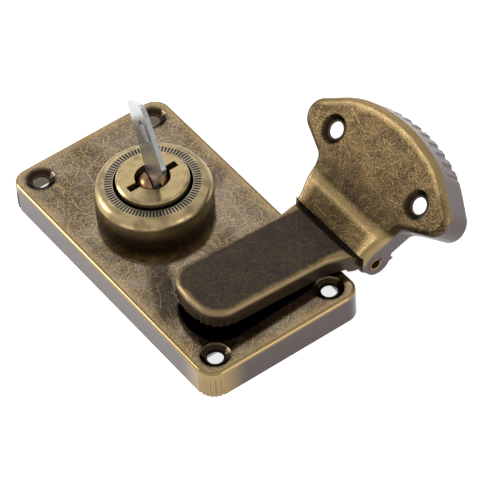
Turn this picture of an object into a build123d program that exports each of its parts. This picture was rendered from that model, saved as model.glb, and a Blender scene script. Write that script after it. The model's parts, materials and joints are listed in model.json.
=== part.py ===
from build123d import *
import os
from math import atan, cos, degrees, radians, sin, sqrt, tan

# Chest lock: a drawn lock plate with a keyed cylinder and a sliding bolt, a hasp tongue whose staple
# drops through the plate, and a fan-shaped hinge plate on the tongue's pin. Millimetres.
# Origin: centre of the lock plate's back face. X runs along the plate's long side towards the tongue,
# Y towards the hinge, Z out of the chest.

# Clearances
RUN_FIT = 0.06          # running fit on the radius, between a disc or pin and its bore
SLIDE_FIT = 0.15        # each side of a sliding flat piece
MOVING_GAP = 0.3        # between pieces that pass each other
PRESS_GAP = 0.02        # on the radius, where one piece is pressed into another

# Lock plate, drawn from sheet
PLATE_LENGTH = 65.0
PLATE_WIDTH = 35.0
PLATE_HEIGHT = 6.2
PLATE_SHEET = 0.8
PLATE_CORNER_R = 3.4
PLATE_EDGE_R = 0.7
SCREW_INSET_X = 4.3     # from the plate's edges to the screws
SCREW_INSET_Y = 4.6
PLEAT_COUNT = 6         # drawing pleats round each front corner of the skirt
PLEAT_R = 0.55
PLEAT_DEPTH = 0.22
PLEAT_TOP = 4.3

# Dished screw seats, the same in both plates
SEAT_R = 2.9
LOCK_SEAT_DEPTH = 0.75
HINGE_SEAT_DEPTH = 0.95
SEAT_LIP = 0.35         # metal left round the hole
SEAT_FLOOR = 0.35       # flat between the hole and the dish
SEAT_BELLY = (0.55, 0.6)     # the dish's middle: in from its rim, and down as a share of its depth
LOCK_HOLE_R = 1.53
HINGE_HOLE_R = 1.6

# Lock cylinder
CYLINDER_INSET = 23.25  # from the plate's end
CYLINDER_Y = 0.3
BARREL_R = 7.0
BARREL_BORE_R = 5.6
COLLAR_THICKNESS = 1.0
DISC_PROUD = 7.44       # keyhole disc's face above the plate
DISC_THICKNESS = 1.2
DISC_CHAMFER = 0.4
DISC_SPIGOT = 0.55
KEYHOLE_R = 3.43
WARD_SLOT_REACH = 5.5   # the two entry slots, from the axis
WARD_SLOT_WIDTH = 1.5

# Bezel, a drawn ring round the cylinder
BEZEL_R = 11.27
BEZEL_RISE = 6.1
BEZEL_SHOULDER_R = 2.0
BEZEL_SHEET = 0.8
BEZEL_MOUTH_R = 7.55
BEZEL_LIP = 2.6
REED_COUNT = 84
REED_INNER_R = 7.75
REED_OUTER_R = 9.15
REED_WIDTH = 0.28
REED_DEPTH = 0.28

# Ring and rivets that hold the barrel's collar down on the plate
RING_R = 10.4
RING_BORE_R = 4.7
RING_THICKNESS = 0.5
BARREL_RIVET_PCR = 8.9
BARREL_RIVET_R = 0.8
BARREL_RIVET_HEAD_R = 1.3
BARREL_RIVET_HEAD = 0.4

# Split plug, cam and peg
CAM_THICKNESS = 1.6
CAM_LIFT = 0.1
PLUG_R = 3.0
PLUG_SLOT = 1.8
PLUG_SHOULDER_BELOW = 1.35   # start of the dome below the disc's face
PLUG_DOME_ABOVE = 0.3
PLUG_DOME_MIDDLE = (0.62, 0.8)    # a point on the dome, as shares of its radius and height
TIP_RECESS_LENGTH = 7.4      # recess in the cam for the key's tip
TIP_RECESS_ROOM = 0.2
TIP_RECESS_DEPTH = 1.0
PEG_R = 0.9
PEG_ORBIT = 3.5
PEG_BELOW_BOLT = 0.25

# Key
KEY_TURN = -14.5        # the blade's direction at rest, from +X
KEY_LEAN_BACK = 3.6     # the loose key's tilt out of its own plane
KEY_LEAN_SIDE = 8.3     # and within it
KEY_PIVOT_Z = 10.3      # height it leans about
KEY_THICKNESS = 0.9
KEY_HEIGHT = 23.2
KEY_BOW_HALF = 9.3
KEY_BOW_AT = 13.6
KEY_BOW_LOW_HALF = 5.2
KEY_BOW_LOW_AT = 7.4
KEY_NECK_HALF = 2.6
KEY_NECK_TOP = 0.9
KEY_SHANK_HALF = 2.2
KEY_BIT_HALF = 4.7
KEY_BIT_TOP = -2.9
KEY_BIT_BOTTOM = -4.9
KEY_TIP = -7.0
KEY_HOLE_R = 2.4
KEY_HOLE_AT = 15.2
KEY_TOP_R = 2.0
KEY_BOW_R = 2.4
KEY_BOW_LOW_R = 2.0

# Bolt, moved by the peg
BOLT_THICKNESS = 1.3
BOLT_BOTTOM = 3.2
BOLT_NOSE_HALF = 2.1
BOLT_THROW_PAST = 1.15  # the nose beyond the staple when locked
BOLT_TAIL_HALF = 2.1
BOLT_TAIL_LENGTH = 12.7
BOLT_HEEL_X = 4.6       # wide part about the peg slot, each way
BOLT_HEEL_LOW = 3.2
BOLT_HEEL_HIGH = 6.0
BOLT_BODY_HALF = 3.0
BOLT_BODY_END = 13.0
BOLT_NOSE_CHAMFER = 0.8
BOLT_NOTCH_DEPTH = 0.5

# Back plate, its studs, the bolt's guides and the detent spring
BACK_INSET_X = 9.0
BACK_INSET_Y = 2.5
BACK_SHEET = 0.7
BACK_CORNER_R = 2.0
STUD_INSET_X = 2.9
STUD_INSET_Y = 3.0
STUD_R = 1.6
STUD_NECK_R = 1.1
GUIDE_HALF_WIDTH = 4.9
GUIDE_LENGTH = 3.4
FRONT_GUIDE_BEHIND = 8.15    # behind the staple
REAR_GUIDE_BEHIND = 9.75     # behind the cylinder's axis
GUIDE_RIVET_R = 0.7
GUIDE_RIVET_Y = 3.7
GUIDE_RIVET_TOP = 2.2
SPRING_SHEET = 0.35
SPRING_WIDTH = 2.2
SPRING_BOTTOM = 2.2
SPRING_POST_R = 0.9
SPRING_POST_AHEAD = 8.05     # places along the leaf, ahead of the cylinder's axis
SPRING_POST_BELOW = 7.6
SPRING_CROWN_AHEAD = 12.65
SPRING_END_AHEAD = 16.65

# Hinge: the pin's axis is parallel to X
HINGE_INSET = 14.15     # from the plate's other end
PIN_BEYOND = 5.9        # outside the plate's long edge
PIN_Z = 5.65
PIN_R = 1.4
PIN_WALL = 0.45
PIN_SEAM = 0.5
PIN_SEAM_TURN = 130
PIN_SHORT_OF_EARS = 0.1

# Tongue, drawn from sheet; s runs from the pin to the tip
TONGUE_TILT = 3.4
TONGUE_SHEET = 0.8
TONGUE_HALF = 7.45
TONGUE_ROOT_HALF = 8.75
TONGUE_ROOT_END = 4.6
TONGUE_WAIST_AT = 9.4
TONGUE_TIP = 35.5
TONGUE_TIP_CROWN = 0.9
TONGUE_TIP_R = 5.0
TIP_PLEAT_DEPTH = 0.3
TIP_PLEAT_TOP = 2.6
TONGUE_SIDE_R = 6.0     # rounds the waist and the blunt point of the tip
TONGUE_TOP = 4.4
TONGUE_BEND_AT = 8.6
TONGUE_BEND_R = 10.0
TONGUE_STEP_AT = 5.0
TONGUE_STEP_TOP = 4.0
TONGUE_STEP_FOOT_AT = 3.0
TONGUE_STEP_FOOT = 2.0
STEP_BROW_R = 0.9
STEP_FOOT_R = 0.5
TONGUE_SKIRT_TIP = 0.8
TONGUE_CHEEK_FOOT = [(5.6, 0.55), (5.2, -0.1), (3.5, -0.65), (0.5, -0.8)]     # (s, height) past the plate
TONGUE_EDGE_R = 1.1
KNUCKLE_R = 2.9

# Staple under the tongue, which the bolt enters
STAPLE_THICKNESS = 1.5
STAPLE_EYE_HALF = 2.6
STAPLE_FOOT = 2.3
STAPLE_FOOT_THICKNESS = 1.0
STAPLE_BOTTOM_Z = 1.2
STAPLE_CORNER_R = 1.7
STAPLE_SLOT_ROOM = 0.75

# Fan-shaped hinge plate, drawn from sheet; u runs from the pin outwards, n is its normal
FAN_ANGLE = 43.0
FAN_SIDE_PLAY = -0.15   # how far the ears have slid along the pin
FAN_SHEET = 0.75
FAN_TOP = 3.56
FAN_SKIRT = -2.8
FAN_APEX = 24.25
FAN_ARC_R = 34.0
FAN_CORNER_R = 3.6
FAN_SHOULDER_X = 17.3        # where each straight shoulder passes just inside the arc
FAN_SHOULDER_DROP = 0.9
FAN_SHOULDER_SLOPE = 0.71
FAN_WING_AT = (14.0, 9.4)
FAN_WING_SLOPE = 0.44
FAN_NECK_HALF = 12.4
FAN_EAR_HALF = 10.3
FAN_EAR_END = 1.0
FAN_EAR_ROOT_R = 4.0
FAN_NECK_R = 2.0
FAN_SKIRT_AT_NECK = -1.3
FAN_EDGE_R = 1.2
FAN_SCREW_HALF = 12.5
FAN_SCREW_AT = 14.4
HOOD_TOP = 4.3
HOOD_RIDGE_AT = 4.9
HOOD_FOOT_AT = 7.2
HOOD_BEND_R = 2.0
EAR_R = 2.85
EAR_AT = (0.5, -0.3)
EAR_FRONT = [(-2.1, 2.1), (-2.35, -0.3)]
EAR_ARCH = (5.6, 3.1)   # relief in the skirt between each ear and the wing: its middle and half length
EAR_ARCH_R = 1.2
RIPPLE_COUNT = 15       # ripples along the lower edge of the fan's curved skirt
RIPPLE_R = 1.1
RIPPLE_DEPTH = 0.28
RIPPLE_HEIGHT = 3.6
RIPPLE_HALF_ANGLE = 31.0

# Derived places
SCREW_X = PLATE_LENGTH / 2 - SCREW_INSET_X
SCREW_Y = PLATE_WIDTH / 2 - SCREW_INSET_Y
CYLINDER_X = CYLINDER_INSET - PLATE_LENGTH / 2
HINGE_X = PLATE_LENGTH / 2 - HINGE_INSET
PIN_Y = PLATE_WIDTH / 2 + PIN_BEYOND
BACK_LENGTH = PLATE_LENGTH - 2 * BACK_INSET_X
BACK_WIDTH = PLATE_WIDTH - 2 * BACK_INSET_Y
STUD_X = BACK_LENGTH / 2 - STUD_INSET_X
STUD_Y = BACK_WIDTH / 2 - STUD_INSET_Y
FRONT_GUIDE_X = HINGE_X - FRONT_GUIDE_BEHIND
REAR_GUIDE_X = CYLINDER_X - REAR_GUIDE_BEHIND
SPRING_POST_X = CYLINDER_X + SPRING_POST_AHEAD
SPRING_CROWN_X = CYLINDER_X + SPRING_CROWN_AHEAD
SPRING_END_X = CYLINDER_X + SPRING_END_AHEAD
PLATE_UNDER = PLATE_HEIGHT - PLATE_SHEET
DISC_FACE = PLATE_HEIGHT + DISC_PROUD
DISC_UNDER = DISC_FACE - DISC_THICKNESS
BEZEL_TOP = PLATE_HEIGHT + BEZEL_RISE
BEZEL_INNER_R = BEZEL_R - BEZEL_SHEET
CAM_BOTTOM = PLATE_UNDER + CAM_LIFT
CAM_TOP = CAM_BOTTOM + CAM_THICKNESS
BOLT_TOP = BOLT_BOTTOM + BOLT_THICKNESS
BOLT_TRAVEL = 2 * PEG_ORBIT * sin(radians(45))      # over the key's quarter turn
BOLT_PER_DEGREE = BOLT_TRAVEL / 90
BOLT_REST = -BOLT_PER_DEGREE * (KEY_TURN + 45)      # from the middle of its travel
BOLT_NOSE_X = HINGE_X + STAPLE_THICKNESS / 2 + BOLT_THROW_PAST - BOLT_TRAVEL / 2
CYLINDER = Pos(CYLINDER_X, CYLINDER_Y, 0)
TONGUE_FRAME = Pos(HINGE_X, PIN_Y, PIN_Z) * Rot(-TONGUE_TILT, 0, 0)
FAN_FRAME = Pos(HINGE_X + FAN_SIDE_PLAY, PIN_Y, PIN_Z) * Rot(FAN_ANGLE, 0, 0)
KEY_FRAME = (Pos(CYLINDER_X, CYLINDER_Y, KEY_PIVOT_Z) * Rot(0, 0, KEY_TURN) * Rot(KEY_LEAN_BACK, 0, 0)
             * Rot(0, KEY_LEAN_SIDE, 0) * Pos(0, 0, DISC_FACE - KEY_PIVOT_Z))


# Shared shapes
def turned(points):
    """Solid of revolution about Z from (radius, height) points."""
    return revolve(make_face(Plane.XZ * Polyline(*points, close=True)), Axis.Z)


def round_bar(radius, bottom, top):
    return Pos(0, 0, bottom) * Cylinder(radius, top - bottom, align=(Align.CENTER, Align.CENTER, Align.MIN))


def slab(length, width, bottom, top):
    return Pos(0, 0, bottom) * Box(length, width, top - bottom, align=(Align.CENTER, Align.CENTER, Align.MIN))


def side_prism(points, half_width, radii=None):
    """Prism across X from a side outline in (y, z)."""
    face = make_face(Plane.YZ * Polyline(*points, close=True))
    for (y, z), radius in (radii or {}).items():
        corner = face.vertices().sort_by_distance((0, y, z))[0]
        face = fillet(corner, radius)
    return extrude(face, half_width, both=True)


def seat_metal(sheet, depth):
    """Sheet pushed down under a dished screw seat whose rim lies at z = 0."""
    bottom = -depth - SEAT_LIP
    return turned([(0, -sheet / 2), (SEAT_R + sheet, -sheet / 2), (SEAT_R + sheet, -sheet), (SEAT_R, bottom),
                   (0, bottom)])


def seat_cut(sheet, depth, hole_r):
    """Dished recess and clearance hole of a screw seat."""
    floor_r = hole_r + SEAT_FLOOR
    belly_in, belly_down = SEAT_BELLY
    wall = ThreePointArc((floor_r, 0, -depth), (SEAT_R - belly_in, 0, -belly_down * depth), (SEAT_R, 0, 0))
    rest = Polyline((SEAT_R, 0, 0), (SEAT_R, 0, sheet), (0, 0, sheet), (0, 0, -depth), (floor_r, 0, -depth))
    dish = revolve(make_face([wall, rest]), Axis.Z)
    return dish + round_bar(hole_r, -2 * depth - 2 * sheet, 0)


# Lock plate
def drawn_box(length, width, height, corner_r, edge_r):
    block = extrude(RectangleRounded(length, width, corner_r), height)
    return fillet(block.faces().sort_by(Axis.Z)[-1].edges(), edge_r)


def pleats(centre, side, corner_r, depth, top):
    """Shallow upright flutes that drawing leaves round one front corner of a skirt."""
    flute = round_bar(PLEAT_R, -top, top)
    turns = [-90 + side * (k + 0.5) * 90 / PLEAT_COUNT for k in range(PLEAT_COUNT)]
    return [Pos(*centre) * Rot(0, 0, turn) * Pos(corner_r + PLEAT_R - depth, 0, 0) * flute for turn in turns]


def plate_pleats(side):
    centre = (side * (PLATE_LENGTH / 2 - PLATE_CORNER_R), PLATE_CORNER_R - PLATE_WIDTH / 2)
    return pleats(centre, side, PLATE_CORNER_R, PLEAT_DEPTH, PLEAT_TOP)


def staple_slot():
    half = STAPLE_EYE_HALF + STAPLE_THICKNESS + STAPLE_SLOT_ROOM
    width = STAPLE_THICKNESS + 3 * MOVING_GAP
    slot = extrude(Rot(0, 0, 90) * SlotOverall(2 * half + width * 0.2, width), 2 * PLATE_SHEET, both=True)
    return Pos(HINGE_X, CYLINDER_Y, PLATE_UNDER + PLATE_SHEET / 2) * slot


def lock_plate():
    wall = PLATE_SHEET
    plate = drawn_box(PLATE_LENGTH, PLATE_WIDTH, PLATE_HEIGHT, PLATE_CORNER_R, PLATE_EDGE_R)
    plate -= drawn_box(PLATE_LENGTH - 2 * wall, PLATE_WIDTH - 2 * wall, PLATE_UNDER,
                       PLATE_CORNER_R - wall, PLATE_EDGE_R / 2)
    seats = [Pos(x, y, PLATE_HEIGHT) for x, y in screw_places()]
    plate += [seat * seat_metal(wall, LOCK_SEAT_DEPTH) for seat in seats]
    plate -= [seat * seat_cut(wall, LOCK_SEAT_DEPTH, LOCK_HOLE_R) for seat in seats]
    plate -= CYLINDER * round_bar(BARREL_R + RUN_FIT, PLATE_UNDER - 1, PLATE_HEIGHT + 1)
    rivet_hole = round_bar(BARREL_RIVET_R, PLATE_UNDER - 1, PLATE_HEIGHT + 1)
    plate -= [place * rivet_hole for place in barrel_rivet_places()]
    plate -= staple_slot()
    return plate - plate_pleats(1) - plate_pleats(-1)


def screw_places():
    return [(i * SCREW_X, j * SCREW_Y) for i in (-1, 1) for j in (-1, 1)]


# Cylinder: bezel, barrel, disc, ring and rivets
def bezel():
    edge_r = BEZEL_SHOULDER_R
    inner_r = edge_r - BEZEL_SHEET
    turn_r = BEZEL_R - edge_r
    turn_z = BEZEL_TOP - edge_r
    diagonal = sqrt(0.5)
    lip_r = BEZEL_MOUTH_R + BEZEL_SHEET
    under = BEZEL_TOP - BEZEL_SHEET
    lip_end = BEZEL_TOP - BEZEL_LIP

    def shoulder_point(radius):
        return (turn_r + radius * diagonal, turn_z + radius * diagonal)

    outside = ThreePointArc((BEZEL_R, turn_z), shoulder_point(edge_r), (turn_r, BEZEL_TOP))
    top = Polyline((turn_r, BEZEL_TOP), (BEZEL_MOUTH_R, BEZEL_TOP), (BEZEL_MOUTH_R, lip_end), (lip_r, lip_end),
                   (lip_r, under), (turn_r, under))
    inside = ThreePointArc((turn_r, under), shoulder_point(inner_r), (BEZEL_INNER_R, turn_z))
    foot = Polyline((BEZEL_INNER_R, turn_z), (BEZEL_INNER_R, PLATE_HEIGHT), (BEZEL_R, PLATE_HEIGHT), (BEZEL_R, turn_z))
    ring = revolve(make_face([Plane.XZ * side for side in (outside, top, inside, foot)]), Axis.Z)
    reed_middle = (REED_INNER_R + REED_OUTER_R) / 2
    reed = Pos(reed_middle, 0, BEZEL_TOP) * Box(REED_OUTER_R - REED_INNER_R, REED_WIDTH, 2 * REED_DEPTH)
    ring -= [Rot(0, 0, 360 * k / REED_COUNT) * reed for k in range(REED_COUNT)]
    return CYLINDER * ring


def barrel_rivet_places():
    return [CYLINDER * Rot(0, 0, 45 + 90 * k) * Pos(BARREL_RIVET_PCR, 0, 0) for k in range(4)]


def barrel():
    collar_top = PLATE_HEIGHT + COLLAR_THICKNESS
    collar_r = BEZEL_INNER_R - PRESS_GAP
    tube = turned([(BARREL_BORE_R, PLATE_UNDER), (BARREL_R, PLATE_UNDER), (BARREL_R, PLATE_HEIGHT),
                   (collar_r, PLATE_HEIGHT), (collar_r, collar_top), (BARREL_R, collar_top),
                   (BARREL_R, DISC_UNDER), (BARREL_BORE_R, DISC_UNDER)])
    rivet_hole = round_bar(BARREL_RIVET_R, PLATE_HEIGHT - 1, collar_top + 1)
    return CYLINDER * tube - [place * rivet_hole for place in barrel_rivet_places()]


def keyhole_disc():
    spigot_r = BARREL_BORE_R - PRESS_GAP
    spigot_end = DISC_UNDER - DISC_SPIGOT
    disc = turned([(0, spigot_end), (spigot_r, spigot_end), (spigot_r, DISC_UNDER), (BARREL_R, DISC_UNDER),
                   (BARREL_R, DISC_FACE - DISC_CHAMFER), (BARREL_R - DISC_CHAMFER, DISC_FACE), (0, DISC_FACE)])
    disc -= round_bar(KEYHOLE_R, DISC_UNDER - 2, DISC_FACE + 1)
    disc -= slab(WARD_SLOT_WIDTH, 2 * WARD_SLOT_REACH, DISC_UNDER - 2, DISC_FACE + 1)
    return CYLINDER * disc


def barrel_ring():
    bottom = PLATE_UNDER - RING_THICKNESS
    ring = round_bar(RING_R, bottom, PLATE_UNDER) - round_bar(RING_BORE_R, bottom - 1, PLATE_UNDER + 1)
    rivet_hole = round_bar(BARREL_RIVET_R, bottom - 1, PLATE_UNDER + 1)
    return CYLINDER * ring - [place * rivet_hole for place in barrel_rivet_places()]


def barrel_rivets():
    top = PLATE_HEIGHT + COLLAR_THICKNESS
    rivet = round_bar(BARREL_RIVET_R, PLATE_UNDER - RING_THICKNESS, top)
    rivet += round_bar(BARREL_RIVET_HEAD_R, top, top + BARREL_RIVET_HEAD)
    return [place * rivet for place in barrel_rivet_places()]


# Split plug, cam and peg, which turn with the key
PLUG_FRAME = CYLINDER * Rot(0, 0, KEY_TURN)


def plug_half(side):
    """One domed half of the plug; side is +1 behind the key and -1 before it."""
    shoulder = DISC_FACE - PLUG_SHOULDER_BELOW
    apex = DISC_FACE + PLUG_DOME_ABOVE
    out, up = PLUG_DOME_MIDDLE
    middle = (out * PLUG_R, shoulder + up * (apex - shoulder))
    dome = Plane.XZ * ThreePointArc((PLUG_R, shoulder), middle, (0, apex))
    stem = Plane.XZ * Polyline((0, apex), (0, CAM_TOP), (PLUG_R, CAM_TOP), (PLUG_R, shoulder))
    plug = revolve(make_face([dome, stem]), Axis.Z)
    keep = Pos(0, side * (PLUG_SLOT / 2 + PLUG_R), (CAM_TOP + apex) / 2) * Box(3 * PLUG_R, 2 * PLUG_R, 2 * apex)
    return PLUG_FRAME * (plug & keep)


def peg_place():
    return PLUG_FRAME * Rot(0, 0, 135) * Pos(PEG_ORBIT, 0, 0)


def cam():
    disc = PLUG_FRAME * round_bar(BARREL_BORE_R - RUN_FIT, CAM_BOTTOM, CAM_TOP)
    recess_width = PLUG_SLOT + 2 * TIP_RECESS_ROOM
    tip_recess = PLUG_FRAME * slab(TIP_RECESS_LENGTH, recess_width, CAM_TOP - TIP_RECESS_DEPTH, CAM_TOP + 1)
    return disc - tip_recess - peg_place() * round_bar(PEG_R, CAM_BOTTOM - 1, CAM_TOP + 1)


def cam_peg():
    return peg_place() * round_bar(PEG_R, BOLT_BOTTOM - PEG_BELOW_BOLT, CAM_TOP)


# Key
def key():
    half = [(0, KEY_HEIGHT), (KEY_BOW_HALF, KEY_BOW_AT), (KEY_BOW_LOW_HALF, KEY_BOW_LOW_AT),
            (KEY_NECK_HALF, KEY_NECK_TOP), (KEY_NECK_HALF, KEY_BIT_TOP), (KEY_BIT_HALF, KEY_BIT_TOP),
            (KEY_BIT_HALF, KEY_BIT_BOTTOM), (KEY_SHANK_HALF, KEY_BIT_BOTTOM), (KEY_SHANK_HALF, KEY_TIP)]
    outline = half + [(-w, h) for w, h in half[:0:-1]]
    blank = make_face(Plane.XZ * Polyline(*outline, close=True))
    blank = fillet(blank.vertices().sort_by(Axis.Z)[-1], KEY_TOP_R)
    for w, h, radius in ((KEY_BOW_HALF, KEY_BOW_AT, KEY_BOW_R), (KEY_BOW_LOW_HALF, KEY_BOW_LOW_AT, KEY_BOW_LOW_R)):
        for side in (-1, 1):
            blank = fillet(blank.vertices().sort_by_distance((side * w, 0, h))[0], radius)
    blade = extrude(blank, KEY_THICKNESS / 2, both=True)
    blade -= Pos(0, 0, KEY_HOLE_AT) * Rot(90, 0, 0) * Cylinder(KEY_HOLE_R, 4 * KEY_THICKNESS)
    return KEY_FRAME * blade


# Bolt and what guides it
def bolt():
    """Flat bolt, drawn with its peg slot over the cylinder's axis and moved to its place at rest."""
    nose = BOLT_NOSE_X - CYLINDER_X
    body_end = BOLT_BODY_END
    tip = BOLT_NOSE_CHAMFER
    outline = [(-BOLT_TAIL_LENGTH, -BOLT_TAIL_HALF), (-BOLT_HEEL_X, -BOLT_TAIL_HALF), (-BOLT_HEEL_X, -BOLT_HEEL_LOW),
               (BOLT_HEEL_X, -BOLT_HEEL_LOW), (BOLT_HEEL_X, -BOLT_BODY_HALF), (body_end, -BOLT_BODY_HALF),
               (body_end, -BOLT_NOSE_HALF), (nose - tip, -BOLT_NOSE_HALF), (nose, -BOLT_NOSE_HALF + tip),
               (nose, BOLT_NOSE_HALF - tip), (nose - tip, BOLT_NOSE_HALF), (body_end, BOLT_NOSE_HALF),
               (body_end, BOLT_BODY_HALF), (BOLT_HEEL_X, BOLT_BODY_HALF), (BOLT_HEEL_X, BOLT_HEEL_HIGH),
               (-BOLT_HEEL_X, BOLT_HEEL_HIGH), (-BOLT_HEEL_X, BOLT_TAIL_HALF), (-BOLT_TAIL_LENGTH, BOLT_TAIL_HALF)]
    blank = extrude(make_face(Polyline(*outline, close=True)), BOLT_THICKNESS)
    slot_low = PEG_ORBIT * sin(radians(45)) - PEG_R - MOVING_GAP
    slot_high = PEG_ORBIT + PEG_R + MOVING_GAP
    slot = Box(2 * (PEG_R + MOVING_GAP), slot_high - slot_low, 3 * BOLT_THICKNESS)
    blank -= Pos(0, (slot_low + slot_high) / 2, 0) * slot
    notch = Rot(0, 0, 45) * Box(BOLT_NOTCH_DEPTH * sqrt(2), BOLT_NOTCH_DEPTH * sqrt(2), 3 * BOLT_THICKNESS)
    blank -= [Pos(SPRING_CROWN_AHEAD + end * BOLT_TRAVEL / 2, -BOLT_BODY_HALF, 0) * notch for end in (-1, 1)]
    return Pos(CYLINDER_X + BOLT_REST, CYLINDER_Y, BOLT_BOTTOM) * blank


def guide(x):
    """Block on the back plate with a window for the bolt."""
    half_window = BOLT_NOSE_HALF + SLIDE_FIT
    block = slab(GUIDE_LENGTH, 2 * GUIDE_HALF_WIDTH, BACK_SHEET, PLATE_UNDER - RING_THICKNESS)
    block -= slab(2 * GUIDE_LENGTH, 2 * half_window, BOLT_BOTTOM - SLIDE_FIT, BOLT_TOP + SLIDE_FIT)
    block -= [Pos(0, j * GUIDE_RIVET_Y, 0) * round_bar(GUIDE_RIVET_R, 0, GUIDE_RIVET_TOP) for j in (-1, 1)]
    return Pos(x, CYLINDER_Y, 0) * block


def guide_rivet_places():
    return [Pos(x, CYLINDER_Y + j * GUIDE_RIVET_Y, 0) for x in (FRONT_GUIDE_X, REAR_GUIDE_X) for j in (-1, 1)]


def guide_rivets():
    return [place * round_bar(GUIDE_RIVET_R, 0, GUIDE_RIVET_TOP) for place in guide_rivet_places()]


def stud_places():
    return [Pos(i * STUD_X, j * STUD_Y, 0) for i in (-1, 1) for j in (-1, 1)]


def back_plate():
    plate = extrude(RectangleRounded(BACK_LENGTH, BACK_WIDTH, BACK_CORNER_R), BACK_SHEET)
    plate -= [place * round_bar(STUD_NECK_R, -1, 2) for place in stud_places()]
    plate -= [place * round_bar(GUIDE_RIVET_R, -1, 2) for place in guide_rivet_places()]
    return plate - spring_post_place() * round_bar(SPRING_POST_R, -1, 2)


def plate_studs():
    stud = round_bar(STUD_NECK_R, 0, BACK_SHEET) + round_bar(STUD_R, BACK_SHEET, PLATE_UNDER)
    return [place * stud for place in stud_places()]


def spring_post_place():
    return Pos(SPRING_POST_X, CYLINDER_Y - SPRING_POST_BELOW, 0)


def spring_post():
    return spring_post_place() * round_bar(SPRING_POST_R, 0, SPRING_BOTTOM + SPRING_WIDTH)


def detent_spring():
    """Leaf spring, curled round its post, whose crown bears towards the bolt's notched edge."""
    crown_y = CYLINDER_Y - BOLT_BODY_HALF - MOVING_GAP - SPRING_SHEET / 2
    post_y = CYLINDER_Y - SPRING_POST_BELOW
    curl_r = SPRING_POST_R + SPRING_SHEET / 2
    curl = Pos(SPRING_POST_X, post_y, 0) * (Circle(curl_r + SPRING_SHEET / 2) - Circle(SPRING_POST_R))
    leaf = ThreePointArc((SPRING_POST_X, post_y + curl_r), (SPRING_CROWN_X, crown_y),
                         (SPRING_END_X, post_y + 2 * curl_r))
    strip = trace(leaf, SPRING_SHEET)
    return Pos(0, 0, SPRING_BOTTOM) * extrude(curl + strip, SPRING_WIDTH)


# Tongue and its staple; the local y axis points from the tip to the pin, so y = -s
def tongue_plan(inset):
    """Plan outline of the tongue's shell, or of the space inside it."""
    half = TONGUE_HALF - inset
    root = TONGUE_ROOT_HALF - inset
    tip = TONGUE_TIP - inset
    right = [(root, KNUCKLE_R + 1), (root, -TONGUE_ROOT_END), (half, -TONGUE_WAIST_AT),
             (half, TONGUE_TIP_CROWN - tip)]
    face = make_face(Polyline(*right, (0, -tip), *[(-x, y) for x, y in right[::-1]], close=True))
    for (x, y), radius in ((right[1], TONGUE_SIDE_R), (right[2], TONGUE_SIDE_R), (right[3], TONGUE_TIP_R - inset)):
        for side in (-1, 1):
            face = fillet(face.vertices().sort_by_distance((side * x, y, 0))[0], radius)
    return fillet(face.vertices().sort_by_distance((0, -tip, 0))[0], TONGUE_SIDE_R)


def tongue_profile(inset, floor):
    """Side outline of the tongue's shell: the top and the skirt's lower edge."""
    tip = -TONGUE_TIP - 2
    root = -0.5
    fall = (TONGUE_TOP - TONGUE_STEP_TOP) / (TONGUE_BEND_AT - TONGUE_STEP_AT)
    points = [(tip, TONGUE_TOP - inset), (-TONGUE_BEND_AT, TONGUE_TOP - inset),
              (root, TONGUE_TOP - fall * (TONGUE_BEND_AT + root) - inset),
              *[(-at, low + floor) for at, low in TONGUE_CHEEK_FOOT[::-1]], (tip, TONGUE_SKIRT_TIP + floor)]
    return side_prism(points, 20, {points[1]: TONGUE_BEND_R})


def tongue_step(inset):
    """Space above the tongue's step down to the pin."""
    step = -TONGUE_STEP_AT + 0.6 * inset
    foot = -TONGUE_STEP_FOOT_AT + 0.6 * inset
    top = TONGUE_STEP_TOP - inset
    low = TONGUE_STEP_FOOT - inset
    points = [(step - 2, top + 0.25), (step, top), (foot, low), (5, low), (5, top + 5), (step - 2, top + 5)]
    return side_prism(points, 20, {points[1]: STEP_BROW_R, points[2]: STEP_FOOT_R})


def tip_pleats(side):
    crown_turn = degrees(atan(TONGUE_TIP_CROWN / TONGUE_HALF))
    centre_y = TONGUE_TIP_CROWN - TONGUE_TIP + TONGUE_TIP_R * tan(radians(45 - crown_turn / 2))
    centre = (side * (TONGUE_HALF - TONGUE_TIP_R), centre_y)
    return pleats(centre, side, TONGUE_TIP_R, TIP_PLEAT_DEPTH, TIP_PLEAT_TOP)


def tongue():
    body = extrude(Pos(0, 0, -10) * tongue_plan(0), 20) & tongue_profile(0, 0)
    rim = [edge for edge in body.edges() if edge.center().Z > 3 and abs(edge.tangent_at(0.5).Z) < 0.7
           and edge.center().Y < -0.6 and (abs(edge.center().X) > 2 or edge.center().Y < -TONGUE_TIP + 3)]
    body = fillet(rim, TONGUE_EDGE_R) - tongue_step(0)
    body += Rot(0, 90, 0) * Cylinder(KNUCKLE_R, 2 * TONGUE_ROOT_HALF)
    hollow = extrude(Pos(0, 0, -10) * tongue_plan(TONGUE_SHEET), 20) & tongue_profile(TONGUE_SHEET, -8)
    body -= hollow - tongue_step(TONGUE_SHEET)
    inner = 2 * (TONGUE_ROOT_HALF - TONGUE_SHEET)
    body -= Rot(0, 90, 0) * Cylinder(KNUCKLE_R - TONGUE_SHEET, inner)
    body -= Pos(0, KNUCKLE_R, -KNUCKLE_R) * Box(inner, 2 * KNUCKLE_R + 2, 4 * KNUCKLE_R)
    body -= Rot(0, 90, 0) * Cylinder(PIN_R, 4 * TONGUE_ROOT_HALF)
    return TONGUE_FRAME * (body - tip_pleats(1) - tip_pleats(-1))


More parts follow.
